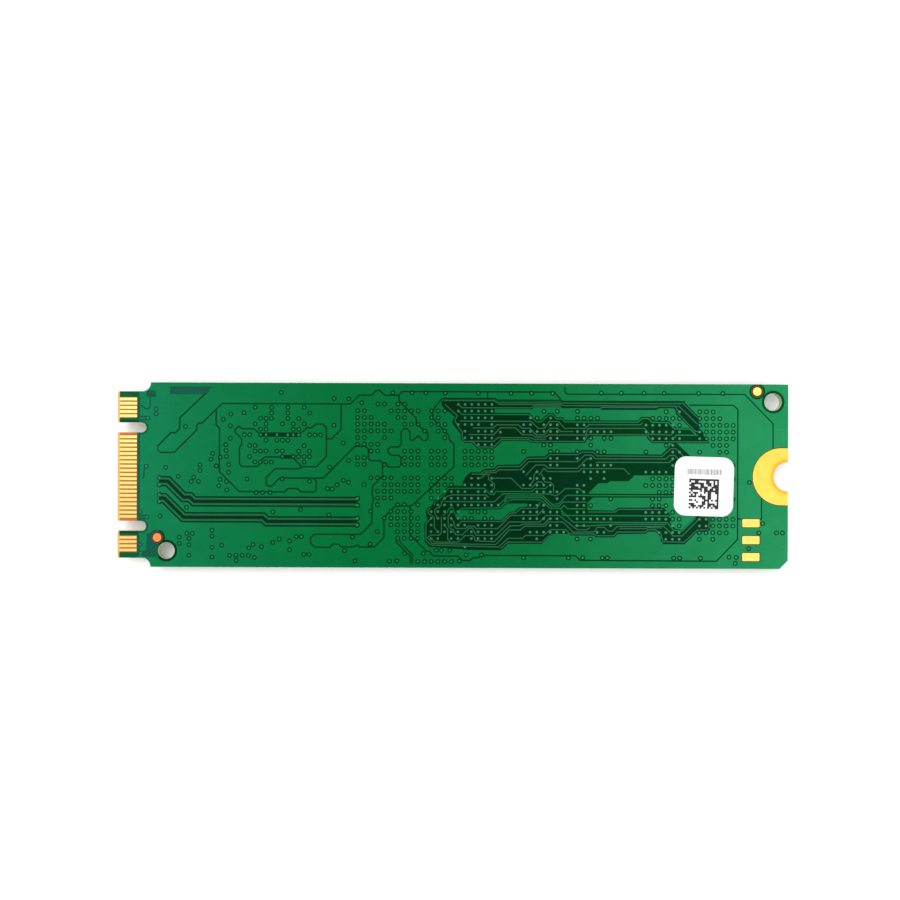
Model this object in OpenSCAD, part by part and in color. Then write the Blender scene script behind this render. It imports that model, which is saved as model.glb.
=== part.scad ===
// Gumstick solid state drive: an 80 x 22 mm board with a two-key edge connector at one end
// and a screw notch at the other. It lies on its chips, so its bare back looks up.

/* [Board] */
// Length from the contact edge to the screw edge
board_length = 80; // [79:0.25:84]
// Width across the board
board_width = 22; // [21.5:0.25:26]
// Thickness of the finished board
board_thickness = 0.8; // [0.6:0.05:1.2]
// Copper and solder mask together, on each face
skin = 0.05; // [0.04:0.01:0.1]
// How far the mask sinks where there is no copper under it
relief = 0.03; // [0.01:0.005:0.035]
// Chamfer of the corner beside the test pads
corner_chamfer = 1; // [0.4:0.1:1.6]

/* [Edge connector] */
// Width of the tongue that enters the socket
tongue_width = 19.85; // [19.6:0.05:20.2]
// Length of the tongue
tongue_length = 4; // [3.8:0.1:4.2]
// Radius in the corner beside the tongue
shoulder_radius = 1; // [0.2:0.1:1]
// Length of the bevel on the contact edge
bevel_length = 0.3; // [0.1:0.05:0.4]
// Depth of the bevel on each face
bevel_depth = 0.15; // [0.05:0.01:0.2]
// Width of the key notches
key_width = 1.2; // [0.9:0.05:1.3]
// Depth of the key notches
key_length = 3.5; // [3:0.1:3.8]
// Distance between neighbouring contact positions, which alternate between the faces
contact_step = 0.25; // [0.22:0.01:0.26]
// Width of one contact
contact_width = 0.3; // [0.2:0.01:0.4]
// Length of one contact
contact_length = 2.05; // [1.6:0.05:2.3]
// Bare board in front of the contacts
contact_inset = 0.3; // [0.3:0.05:0.6]
// Gap between the contacts and the solder mask behind them
mask_gap = 0.05; // [0.03:0.01:0.2]

/* [Screw end] */
// Radius of the notch that takes the screw
notch_radius = 1.75; // [1.5:0.05:2]
// Radius of the plated land around the notch
land_radius = 3.4; // [3:0.1:3.6]
// Distance from the screw edge to the centre of the land's round side
land_inset = 0.8; // [0.2:0.1:1]
// Bare ring between a pad and the solder mask
pad_clearance = 0.1; // [0.05:0.01:0.15]
// Length of a test pad, along the board
test_pad_length = 2.05; // [1:0.05:2.2]
// Width of a test pad
test_pad_width = 0.95; // [0.6:0.05:1.2]
// Distance between test pads
test_pad_step = 2.02; // [1.8:0.01:2.1]

/* [Tooling holes and marks] */
// Radius of the tooling hole near the contacts
near_hole_radius = 1; // [0.6:0.05:1.1]
// Radius of the tooling hole near the screw
far_hole_radius = 1.05; // [0.6:0.05:1.1]
// Ring without copper around a tooling hole, under the mask
hole_clearance = 0.3; // [0.1:0.05:0.4]
// Radius of the copper alignment dots
mark_radius = 0.5; // [0.3:0.05:0.6]
// Bare ring around an alignment dot
mark_clearance = 0.22; // [0.1:0.02:0.4]

/* [Chips] */
// Height of the tallest chips above the board
chip_height = 1.2; // [1.1:0.05:1.35]
// Gap under a chip that its solder balls fill
ball_height = 0.25; // [0.15:0.01:0.35]
// Radius of a solder ball at its waist
ball_radius = 0.2; // [0.12:0.01:0.24]
// Distance between the balls of the controller and flash chips
ball_pitch = 0.8; // [0.7:0.05:0.8]
// Size of a flash chip along the board
flash_length = 14; // [12:0.1:14.3]
// Size of a flash chip across the board
flash_width = 18; // [16:0.1:18.5]
// Side of the square controller chip
controller_side = 17; // [16.5:0.1:17.4]
// Size of the memory chip along the board
memory_length = 11.5; // [11:0.1:11.7]
// Size of the memory chip across the board
memory_width = 10; // [9:0.1:10]
// Height of the memory chip above the board
memory_height = 1; // [0.8:0.05:1.1]
// Distance between the balls of the memory chip
memory_pitch = 0.65; // [0.5:0.01:0.65]

/* [Small components] */
// Side of the power management chip
power_chip_side = 4; // [3:0.1:4.4]
// Side of the core regulator chip
regulator_side = 3; // [2:0.1:3.2]
// Height of the leadless chips
leadless_height = 0.85; // [0.6:0.05:1]
// Size of a power inductor along the board
inductor_length = 2.5; // [2:0.1:2.8]
// Size of a power inductor across the board
inductor_width = 2; // [1.6:0.1:2.2]
// Height of a power inductor
inductor_height = 1; // [0.8:0.05:1.1]
// Length of a small ceramic capacitor
small_chip_length = 1; // [0.6:0.05:1.1]
// Width and height of a small ceramic capacitor
small_chip_width = 0.5; // [0.3:0.05:0.6]
// Length of a large ceramic capacitor
large_chip_length = 2; // [1.6:0.05:2.2]
// Width of a large ceramic capacitor
large_chip_width = 1.25; // [0.8:0.05:1.3]
// Height of a resistor
resistor_height = 0.35; // [0.25:0.05:0.5]

/* [Label] */
// Side of the square paper label
label_side = 7.05; // [5:0.05:8]
// Radius of the label's corners
label_corner = 1.35; // [0.5:0.05:2]
// Thickness of the label
label_thickness = 0.08; // [0.05:0.01:0.15]
// Turn of the label as it was stuck on
label_turn = -1.5; // [-4:0.1:4]

/* [Hidden] */

$fn = 48;
eps = 0.01;
front_z = chip_height;
back_z = front_z + board_thickness;
core_thickness = board_thickness - 2 * skin;
left = -board_length / 2;
right = board_length / 2;
edge = board_width / 2;

// Contact positions run from 1 to 75, odd ones on the front and even ones on the back
contact_count = 75;
back_groups = [[2, 10], [20, 58], [68, 74]];
front_groups = [[1, 11], [21, 57], [67, 75]];
key_centres = [15.5, 62.5];
window_margin = 0.1;
pour_setback = 0.3;
function contact_y(n) = ((contact_count + 1) / 2 - n) * contact_step;
key_ys = [for (n = key_centres) contact_y(n)];
mask_start = left + contact_inset + contact_length + mask_gap;

// The copper layout, the vias and the places of the chips are given on a board of this size,
// and spread with the board
layout_size = [80, 22];
spread = [board_length / layout_size.x, board_width / layout_size.y];
function laid(p) = [p.x * spread.x, p.y * spread.y];
function points_laid(points) = [for (p = points) laid(p)];
function lines_laid(lines) = [for (l = lines) points_laid(l)];
function widened(p) = [p.x, p.y * spread.y];

near_hole = [left + 5.9, 1.95 - edge];
far_hole = [right - 1.8, edge - 2.1];
back_marks_at = [[left + 4.8, 3.5 - edge], [right - 3.7, edge - 0.85]];
front_marks_at = [[left + 4.8, edge - 1.3], [right - 3.9, 1.1 - edge]];
test_pads_at = [for (i = [0:2]) [right - 4.4, 1.41 - edge + (2 - i) * test_pad_step]];
label_at = widened([right - 10.04, -1.19]);

// Width of the sunk lines and of the raised traces, and the via pads with their dark rings
line_width = 0.15;
trace_width = 0.13;
via_pad = 0.16;
via_ring = 0.29;

// Centres of the via grids under the four large chips, and the place of column 0 in row 0 of each
controller_grid_at = [-3.33, 0.5];
near_flash_grid_at = [13.67, 0.1];
far_flash_grid_at = [28.25, 0.1];
memory_grid_at = [-19.65, 4.8];
controller_grid = controller_grid_at - ball_pitch * [10, 10];
near_flash_grid = near_flash_grid_at - ball_pitch * [6.5, 9.5];
far_flash_grid = far_flash_grid_at - ball_pitch * [6.5, 9.5];
memory_grid = memory_grid_at - memory_pitch * [8, 5];

// Centres of the four large chips: the two flash chips keep their gap
flash_gap = 0.58;
flash_middle = (near_flash_grid_at + far_flash_grid_at) / 2;
flash_half_step = [(flash_length + flash_gap) / 2, 0];
controller_at = widened(controller_grid_at);
near_flash_at = widened(flash_middle - flash_half_step);
far_flash_at = widened(flash_middle + flash_half_step);
memory_at = widened(memory_grid_at);

// Vias in each grid: one list of columns for each row, from the lowest row up
controller_vias = [
    [6, 7, 8, 9, 11, 12, 14, 15, 17, 18, 19, 20],
    [3, 6, 7, 8, 9, 11, 12, 13, 14, 15, 17, 18, 19, 20],
    [5, 6, 7, 8, 9, 11, 13, 14, 15, 16, 18, 19, 20],
    [4, 5, 6, 7, 8, 9, 11, 12, 13, 14, 15, 16, 17, 19, 20],
    [2, 5, 6, 7, 8, 11, 12, 13, 14, 15, 17, 18, 19],
    [3, 6, 7, 9, 12, 13, 14, 15, 16, 17, 18, 19, 20, 21],
    [3, 4, 5, 11, 12, 13, 14, 15, 16, 17, 18, 19],
    [3, 4, 5, 6, 7, 8, 9, 11, 12, 13, 14, 15, 16, 18, 19, 20],
    [1, 4, 5, 6, 7, 8, 9, 11, 12, 13, 14, 16, 17, 18, 19, 20],
    [2, 3, 4, 5, 7, 8, 9, 11, 12, 13, 14, 17, 18, 20],
    [],
    [0, 1, 4, 7, 8, 9, 11, 12, 13, 16, 17, 18, 19, 20],
    [0, 1, 7, 8, 9, 11, 12, 13, 16, 17, 18, 19, 20],
    [2, 3, 7, 8, 9, 11, 12, 13, 16, 17, 18, 19, 20],
    [0, 1, 2, 3, 18, 19, 20],
    [0, 1, 4, 13, 16, 17, 18, 19, 20],
    [0, 1, 2, 3, 4, 5, 10, 12, 13, 16, 18, 19, 20],
    [0, 1, 2, 3, 4, 7, 8, 9, 11, 12, 13, 15, 16, 17, 18, 20],
    [0, 1, 2, 6, 7, 11, 12, 16, 17, 18, 19, 20],
    [0, 1, 5, 6, 7, 8, 9, 11, 12, 13, 15, 16, 17, 18, 19, 20],
    [3, 4, 6, 7, 15, 16, 17, 18, 19, 20],
];
near_flash_vias = [
    [2, 8, 10],
    [1, 2, 3, 4, 5, 6, 11, 12],
    [4, 5, 8, 9, 13],
    [0, 1, 2, 3, 4, 5, 8, 9, 10, 11, 12, 13],
    [0, 1, 2, 3, 4, 5, 8, 9],
    [1, 2, 3, 8, 9, 10],
    [5, 8, 9, 13],
    [2, 3, 4, 5, 8, 9],
    [0, 1, 2, 3, 4, 8, 9],
    [1, 2, 3, 4, 10, 12],
    [0, 2, 9, 10, 11, 12],
    [4, 5, 9, 10, 11, 12, 13],
    [4, 5, 8, 10],
    [0, 4, 5, 8, 11, 12],
    [3, 4, 10],
    [4, 5, 8, 9, 10, 12, 13],
    [0, 1, 2, 3, 4, 5, 8, 9, 10, 11, 12, 13],
    [0, 1, 3, 4, 5, 8, 9],
    [1, 2, 4, 8, 9, 10, 11],
    [3, 5, 8],
];
far_flash_vias = [
    [3, 4, 5, 8, 10],
    [2, 3, 4, 5, 8, 9, 10, 11, 12],
    [4, 5, 8, 9, 10, 11, 12, 13],
    [0, 1, 2, 3, 4, 5, 8, 9, 10, 11, 12, 13],
    [0, 1, 2, 3, 4],
    [1, 2, 3],
    [1, 2, 13],
    [2, 3, 4],
    [0, 1, 2, 3, 4],
    [1, 2, 3, 4, 13],
    [0, 1, 2, 3],
    [4, 13],
    [4],
    [0, 4, 5, 8, 11, 12],
    [3, 4, 10, 11, 12],
    [1, 2, 3, 4, 5, 8, 9, 10, 11, 12, 13],
    [0, 1, 2, 3, 4, 5, 8, 9, 10, 11, 12, 13],
    [0, 1, 2, 3, 4, 5, 8, 9, 10, 11, 12, 13],
    [1, 2, 3, 4, 5, 8, 9, 10, 11],
    [3, 5, 8, 9, 10],
];
memory_vias = [
    [2, 3, 4, 5, 11],
    [1, 7, 9, 10, 11, 12],
    [2, 3, 4, 6, 7, 10, 12],
    [1, 2, 11],
    [4, 6, 7, 8],
    [0, 1, 3, 4, 6, 8, 9, 10, 12, 13, 14],
    [3, 4, 9, 10],
    [2, 4, 7, 9, 11],
    [3, 4, 5, 8, 10],
    [5, 8, 12],
    [2, 5, 8, 11],
];
// Vias off the grids, near the contacts, along the bottom and top edges, and near the screw
contact_end_vias = [
    [-36.5, 1], [-35.35, 7.85], [-35.35, 7.25], [-36.35, 6.75], [-31.85, 5.75], [-34.2, 0.85],
    [-30.1, 1.15], [-30.1, 0.5], [-32.7, -0.2], [-31.15, -0.8], [-30.85, -0.3], [-30.3, -0.8],
    [-26.45, 7.25], [-24.9, 7.4], [-27.35, 6.6], [-26.5, 5.85], [-26.5, 4.35], [-27.05, 3.6],
    [-27, 2.9], [-26.95, 2.2], [-27.7, 2.1], [-28.6, 2.55], [-28.8, 1.85], [-28.15, 1.05],
    [-26.7, 1.2], [-26.7, 0.3], [-27.7, -0.55], [-26.95, -0.8], [-27.85, -1.3], [-26.9, -1.8],
    [-24.5, -0.5], [-23.4, -2.1], [-22.65, -2.1], [-21.75, -2.1], [-20.3, -0.45], [-17.05, -0.75],
    [-31.7, -3.9], [-34.85, -4.95], [-36.4, -5.05], [-28.65, -6.6], [-28.65, -7.3], [-32.55, -7.45],
    [-32.55, -8.2], [-31.65, -7], [-31, -7], [-31.4, -7.6], [-31.4, -8.35], [-31.4, -9.6],
    [-28.65, -8.65], [-28.65, -9.8], [-27.5, -8.4], [-26.55, -9.6], [-25.8, -9.6], [-25.75, -10.2],
    [-25.05, -9.6], [-24.3, -9.6], [-24.25, -8.7], [-23.75, -8.3], [-23.6, -9.85], [-22.75, -8.55],
    [-21.4, -8.05], [-20.65, -7.65], [-19.4, -7.85], [-19.4, -8.9], [-18.6, -7.35], [-18, -7.35],
    [-17.7, -9.45], [-17.1, -9.45], [-21.4, -4.4], [-18.1, -4.1], [-14.7, -4.75], [-14.9, -1.6],
    [-14.35, -1.65], [-13.75, -1.15], [-13, -0.6], [-12.4, -0.85], [-11.9, -7.35], [-12.85, -9],
    [-11.6, -10.2], [-14.65, 0.95], [-12.4, 1.75], [-13.05, 3.85], [-14.15, 5.95], [-14.15, 9.15],
    [-12.4, 9.1], [-10.85, 8.65], [-20.45, 9.85], [-37.22, -4.45], [-37.2, -8.35], [-37.16, -9.35],
];
edge_vias = [
    [-7.15, 9.85], [-4.85, 9.85], [-3.2, 9.85], [-0.9, 9.85], [3.05, 9.85], [6.95, 9.85],
    [9.4, 9.85], [11.9, 9.85], [17.7, 9.9], [20.1, 9.9], [22.8, 9.9], [25.2, 9.9], [29.3, 9.9],
    [32.2, 9.9], [-9.8, -8.2], [-5.7, -9.3], [-3.45, -9.3], [-1.9, -8.9], [-1.3, -8.9],
    [-0.3, -8.9], [1.5, -8.5], [1.65, -9.45], [3.5, -9.45], [8.5, -9.75], [13.85, -9.75],
    [15.55, -9.75], [17.9, -9.75], [18.5, -9.75], [26.4, -9.75], [27.1, -9.75], [29.6, -9.75],
    [-7.5, -10.25], [-6.6, -10.2], [-4.1, -10.25], [-3.3, -10.25], [-2.5, -10.25],
    [-1.7, -10.25], [-0.9, -10.25], [-0.1, -10.25], [0.85, -10.2], [5.7, 5.2],
];
screw_end_vias = [
    [-4.6, -0.7], [-3, -5.6], [-3.45, -6.7], [-4.65, -8.6], [-1.35, -6.7], [-0.65, -6.7],
    [-7, -9.6], [-6.15, -9.65], [-6.25, -10.35],
];

// Sunk lines that part the copper areas of the back, as corner points
parting_lines = lines_laid([
    [[-29, 10.15], [-32.55, 6.75], [-32.55, 5.5], [-33.05, 5], [-33.6, 5], [-35.15, 3.4],
        [-35.15, 2.95], [-34.85, 2.65], [-33.2, 2.65], [-30.5, 5.35], [-30.5, 5.9],
        [-30.25, 6.15], [-29.9, 6.15], [-27.5, 8.5], [-12.2, 8.5], [-11.15, 9.55],
        [-9.7, 9.55], [-9.15, 10.1], [-8.7, 10.1], [-8.1, 9.55], [-6.45, 9.55], [-6, 10],
        [12.1, 10], [12.9, 9.1]],
    [[-28.2, 7.8], [-28.2, 5.95], [-27.8, 5.55], [-27.8, 0.4], [-25.4, -2], [-20, -2],
        [-19.6, -1.6], [-18.5, -1.6], [-18.1, -2], [-16.5, -2], [-16.25, -1.75],
        [-16.25, -0.7], [-16.55, -0.35]],
    [[-23, 4.9], [-23.7, 5.5], [-25.1, 5.5], [-25.5, 5.8], [-25.95, 5.4], [-25.95, 5.1],
        [-25.15, 4.3], [-25.15, 3.6], [-25.4, 3.3], [-25.4, 1.3], [-25.1, 1], [-23.3, 1],
        [-22.7, 1.55], [-22.7, 1.85], [-22.4, 2.15], [-20.3, 2.15]],
    [[-18.2, 4.9], [-17.4, 5.65], [-16.8, 5.65], [-16.3, 6.1], [-15.5, 6.1], [-15.05, 5.65],
        [-15.05, 2.2], [-16.25, 1], [-18, 1], [-18.95, 2]],
    [[-15.05, 4.35], [-14.4, 4.35], [-13.3, 5.45], [-13.3, 8.5]],
    [[-18, 1], [-18.25, 0.75], [-21.15, 0.75], [-22.2, -0.3], [-22.2, -1.1], [-21.95, -1.35],
        [-21.6, -1.35], [-20.6, -0.35], [-15.4, -0.35], [-11.65, 3.45], [-10.4, 3.45],
        [-10.05, 3.1], [-10.05, 2], [-9.8, 1.75], [-8.65, 1.75], [-8.35, 1.45], [-8.35, -0.1],
        [-9.55, -1.3], [-9.55, -2.4], [-9.4, -2.9], [-9.6, -3.6], [-9.6, -5.7],
        [-10.95, -7.05], [-16.45, -7.05], [-16.9, -7.5], [-16.9, -8.1], [-16.4, -8.6],
        [-14.6, -8.6], [-14.2, -8.2], [-13.55, -8.2], [-13.2, -8.55], [-11.75, -8.55],
        [-11.5, -8.35], [-11.25, -8.35], [-11, -8.55], [-9.3, -8.55], [-8.15, -7.4],
        [-8.15, -5], [-6.8, -3.65], [-4.85, -3.6], [-0.9, 0.1], [0.15, 1.05], [0.15, 3.75],
        [-0.4, 4.25], [-0.4, 4.7], [-2.35, 6.8], [-2.4, 7.5], [-2.1, 8.2], [-1.25, 9.2],
        [5.1, 9.2], [5.3, 9.02], [12.9, 9.02], [13.05, 8.9], [27.7, 8.9]],
    [[-6.4, 9.55], [-6.4, 8.9], [-5.5, 8], [-4.35, 6.8], [-4.35, 6.2], [-2.95, 5],
        [-2.95, 4.4], [-3.25, 4.15], [-3.5, 4.15], [-4.1, 4.75], [-4.7, 4.2], [-4.95, 4.2],
        [-5.1, 4.4], [-5.1, 5.2], [-5.45, 5.6], [-5.75, 5.6], [-6.15, 5.2], [-6.15, 3.7],
        [-6.45, 3.4], [-7.4, 3.4], [-7.7, 3.1], [-7.7, 2.75], [-7.35, 2.4], [-6.4, 2.4],
        [-6.15, 2.15], [-6.15, 1.25], [-6.4, 1], [-7.6, 1], [-8.2, 1.55]],
    [[-5.05, -3.6], [-5.05, -7.05], [-3.1, -9], [-2.7, -9.1], [-2.2, -9.6], [0.7, -9.6],
        [1.2, -10.1], [2.1, -10.1], [2.45, -9.8], [3.2, -9.75], [3.45, -9.5], [14.7, -9.5],
        [15.25, -10.05], [31.5, -10.1], [34, -7.5], [34, 8], [33.45, 8.5], [28.2, 8.5]],
    [[-6.7, -7.6], [-6.66, -8], [-5.01, -9.65], [-5.01, -10.6]],
    [[-6.25, -7.7], [-6.2, -8], [-4.75, -9.45], [-4.75, -10.6]],
    [[4.15, 9.95], [4.15, 9.25]],
    [[13.35, 10.6], [13.35, 10.05], [13.65, 9.75], [34.8, 9.8], [38.2, 6.3], [38.2, 3.2]],
    [[36.85, -2.4], [36.85, -5.05], [34, -5.05]],
    [[-36.05, 9.3], [-36.05, 8.15], [-36.3, 7.85], [-36.6, 7.85], [-37.2, 8.3]],
    [[-37.35, -4.88], [-36.6, -4.88]],
    [[-37.35, -5.22], [-36.6, -5.22]],
    [[-37.35, 6.92], [-36.55, 6.92]],
    [[-37.35, 6.58], [-36.55, 6.58]],
    [[-37, -0.35], [-36.8, -0.35], [-36.75, 0.8]],
]);

// Sunk fields with no copper: the marking field, two slots by the memory and the routed fields
marking_field = points_laid([[-33.7, 10.5], [-33.7, 9.6], [-29.6, 9.6], [-28.7, 10.5]]);
shoulder_field = points_laid([[-36.5, 9.9], [-36.5, 9.25], [-35.4, 9.25], [-35.4, 9.95], [-36.2, 10.1]]);
corner_field = points_laid([[-36.4, -7], [-35.6, -7], [-35.2, -8.2], [-35.2, -9.8], [-37, -9.8],
    [-37, -9.2], [-36.5, -9]]);
memory_slots = lines_laid([
    [[-22.72, 5.08], [-22.72, 4.55], [-18.1, 4.55], [-18.1, 5.08]],
    [[-20.1, 2.4], [-20.1, 1.95], [-19.2, 1.95], [-19.2, 2.4]],
]);
upper_field = points_laid([
    [-1.05, 9.08], [5.05, 9.08], [5.25, 8.9], [27.65, 8.8], [29.3, 7.15], [29.4, 5.75],
    [29.9, 5.25], [29.9, 4.9], [30.7, 3.95], [23.75, 3.95], [23.2, 4.5], [23.1, 4.8],
    [16.35, 4.75], [16, 4.3], [15.75, 3.95], [9.3, 3.95], [9, 4.15], [5.9, 4.15], [5, 3.25],
    [2.9, 3.25], [2.25, 3.9], [1.4, 3.9], [0.95, 4.35], [0.95, 5], [-0.05, 6.2], [-0.05, 6.55],
    [0.3, 6.95], [-1.3, 8.3], [-1.35, 8.75],
]);
// Copper left standing inside the upper field
upper_plate = points_laid([
    [5, 7.5], [9.15, 7.5], [9.95, 6.65], [10.5, 6.65], [11.4, 7.5], [11.95, 7.5],
    [12.45, 7], [13.1, 7], [13.45, 6.65], [22.05, 6.65], [22.5, 7.1], [23.4, 7.1],
    [23.9, 6.65], [25.8, 6.6], [26.7, 5.8], [28.3, 5.8], [26.6, 7.45], [26.5, 8], [26.3, 8.1],
    [24.6, 8.1], [24.3, 7.9], [17.75, 7.9], [17.5, 8.1], [13.1, 8.1], [12.95, 8.2],
    [9.7, 8.2], [9.45, 7.95], [5, 7.95],
]);
lower_field = points_laid([
    [2.1, 0.4], [3.3, 0.4], [3.7, 0.8], [4.9, 0.85], [5.35, 1.3], [7.9, 1.35], [8.9, 2.3],
    [11, 2.35], [11.45, 2.8], [14.9, 2.8], [15.4, 3.1], [16.8, 3.1], [17.25, 2.65],
    [24.9, 2.6], [26.2, 3.95], [26.7, 3.95], [28.4, 2.4], [28.4, 0.1], [21.7, 0.1],
    [21, -0.6], [18.8, -0.6], [18.45, -0.85], [17.4, -0.85], [16.15, -2.1], [28, -2.1],
    [28, -2.55], [16.75, -2.55], [16.1, -3.2], [16.1, -4.05], [19.35, -4.1], [19.7, -3.75],
    [25.2, -3.75], [26, -4.6], [26, -5.6], [26.6, -6.25], [27.4, -6.35], [29.2, -4.6],
    [30.75, -4.6], [30.75, -6.35], [30.4, -6.6], [29.15, -6.65], [27.7, -8.1], [25.2, -8.1],
    [24.85, -7.75], [24.85, -7.2], [24.2, -6.6], [23.35, -6.6], [23.05, -6.85], [19.75, -6.9],
    [19.3, -7.3], [17.1, -7.3], [16.85, -7.1], [14.1, -7.1], [13.85, -6.9], [11.9, -6.9],
    [10.7, -8.1], [6.7, -8.1], [5.85, -8.9], [1.9, -8.85], [-0.7, -8.65], [-2.75, -8.5],
    [-3.3, -7.9], [-3.35, -5.75], [-2.95, -5.3], [-3.15, -4.7], [-3.15, -4.1], [-2.8, -3.75],
    [-2.35, -3.5], [-2.25, -3], [-1.2, -2.25], [-0.65, -1.4], [-0.35, -1.2], [1.2, -1.2],
    [1.25, -0.7], [1.6, -0.1],
]);
lower_plate = points_laid([
    [0.95, -4.1], [5.8, -4], [6.5, -3.3], [8.95, -3.3], [8.95, -3.65], [8, -3.75],
    [7.4, -4.25], [6.85, -4.3], [5.85, -5.25], [0.95, -5.25], [0.4, -4.7],
]);

// Raised traces inside the sunk fields, as corner points
upper_traces = lines_laid([
    [[-0.93, 8.5], [0.55, 7.15], [0.25, 6.5], [1.15, 5.15], [1.15, 4.4], [1.45, 4.07],
        [2.35, 4.07], [3, 3.42], [4.9, 3.42], [5.8, 4.32], [9.1, 4.32], [9.35, 4.12],
        [15.65, 4.12], [16.1, 4.95], [23.2, 4.95], [23.8, 4.12], [30.5, 4.12]],
    [[-1.1, 8.95], [5, 8.95], [5.25, 8.72], [27.5, 8.65], [29.3, 6.9]],
    [[5.4, 8.5], [12.9, 8.5], [13.2, 8.4], [27, 8.35], [29.3, 6.1]],
    [[0.67, 8.5], [1.1, 8.1], [9.3, 8.1], [9.7, 8.33], [12.9, 8.33]],
    [[17.6, 8.1], [17.9, 8.2], [24, 8.2], [24.5, 8.3]],
    [[27.05, 7.7], [26.75, 7.9], [26.55, 8.35]],
    [[26.75, 7.6], [28.9, 5.4], [29.4, 5.3]],
    [[0.67, 7.7], [1.1, 7.3], [9.1, 7.3], [9.95, 6.45], [10.6, 6.45], [11.45, 7.3],
        [11.9, 7.3], [12.4, 6.8], [13.05, 6.8], [13.4, 6.45], [22.1, 6.45], [22.6, 6.9],
        [23.3, 6.9], [23.75, 6.45], [25.7, 6.4], [26.5, 5.65], [28.3, 5.65], [29, 5]],
    [[0.85, 6.5], [9.35, 6.5], [10.2, 5.68], [10.95, 5.68], [11.5, 6.5], [12.6, 6.5],
        [13.35, 5.68], [15.8, 5.68], [16.25, 6.13], [22.4, 6.13], [22.65, 6.4]],
    [[2.4, 5.7], [4.85, 5.7], [5.25, 6.08], [7.85, 6.08], [8.25, 5.68], [9.2, 5.68],
        [9.95, 4.9], [10.95, 4.9], [11.3, 5.35], [11.6, 5.68], [12.5, 5.68], [12.9, 5.3],
        [14.4, 5.3]],
    [[1.9, 4.9], [4.9, 4.9], [5.7, 5.72], [7.5, 5.72], [8.3, 4.92], [9.5, 4.9], [9.8, 4.65],
        [11.1, 4.65], [11.4, 4.9], [15.9, 4.9], [16.1, 5.68], [22.9, 5.72], [23.4, 5],
        [26, 4.92], [26.3, 5.2]],
    [[1.8, 4.1], [2.6, 4.1], [4.9, 4.1], [5.4, 4.55], [9.3, 4.55], [9.6, 4.38], [11.1, 4.38]],
    [[26.3, 4.5], [26.7, 4.92], [29.3, 4.92]],
]);
middle_traces = lines_laid([
    [[2.3, 0.2], [3.4, 0.2], [3.75, 0.55], [5, 0.6], [5.45, 1.08], [8, 1.12], [8.95, 2.08],
        [11.1, 2.1], [11.55, 2.55], [14.9, 2.55], [15.45, 2.85], [16.75, 2.85],
        [17.2, 2.42], [25, 2.38], [26, 3.3], [26.6, 3.3], [27.8, 2.2]],
    [[3.5, 0.1], [4, 0.35], [5.15, 0.38], [5.5, 0.7], [8.1, 0.72], [9.1, 1.7], [14.9, 1.72],
        [15.75, 2.5], [16.6, 2.5], [17.05, 2.07], [25.4, 2.07], [25.9, 2.5], [26.5, 2.5],
        [27.2, 1.8]],
    [[8.7, 0], [9.9, 1.3], [11, 1.3], [11.4, 0.92], [14.9, 0.92], [16, 2.05], [16.5, 2.1]],
    [[10.3, 0.1], [10.9, 0.9], [11.3, 0.52], [15, 0.52], [15.4, 0.9], [20.4, 0.9], [21.1, 0.2]],
    [[17.1, 1.65], [25.8, 1.65], [26.2, 2]],
    [[2.9, -0.3], [3.4, -0.3], [3.9, 0.15], [4.5, 0.15]],
    [[4.67, -0.3], [7, -0.28], [8.25, -1.5], [9.4, -1.5], [10.1, -0.72], [10.6, -0.72],
        [10.9, -1.05]],
    [[9.27, -1.1], [9.7, -0.5], [9.7, 0.1], [10, 0.5]],
    [[10.6, 0.3], [11, -0.7], [11.3, -0.75], [11.7, -0.75], [12.05, -1.1], [12.05, -2.1]],
    [[4.3, 0], [4.3, -0.4], [5, -1], [5, -1.45], [4.67, -1.9]],
    [[-0.2, -1.5], [3.8, -1.5], [4.5, -2.2], [4.9, -2.25], [5.2, -1.88], [9.5, -1.86],
        [9.85, -1.5], [11.1, -1.5], [11.4, -1.2]],
    [[-0.2, -2.3], [4, -2.3], [4.3, -2.6]],
    [[-1, -3.1], [5, -3.1], [6, -2.15], [11.5, -2.15], [12.3, -2.35], [12.7, -2.2],
        [13.4, -1.5], [15.1, -1.5], [15.6, -1.9]],
    [[5.47, -3.5], [6.25, -2.8], [6.4, -2.4], [10.8, -2.38], [11.9, -3.4], [12.7, -3.3],
        [13.6, -2.3], [16, -2.3], [16.7, -2.33], [28, -2.33]],
    [[6.2, -3.1], [6.6, -2.62], [10.7, -2.6], [11.7, -3.6], [12.7, -3.6], [13.2, -3.1],
        [16, -3.1]],
    [[0.67, -4.3], [1.1, -3.9], [5.7, -3.82], [6.4, -3.12], [7, -2.85], [10.5, -2.85],
        [11.6, -3.85], [13, -3.85], [13.3, -3.5], [13.7, -3.9], [15.9, -3.9]],
    [[-2.13, -3.5], [-2.13, -3.18], [-1.03, -2.36], [-0.5, -1.53], [0, -1.5]],
    [[-1.75, -3.9], [-1.3, -3.5], [-1.3, -3.1], [-0.6, -2.45], [0, -2.3]],
]);
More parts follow.
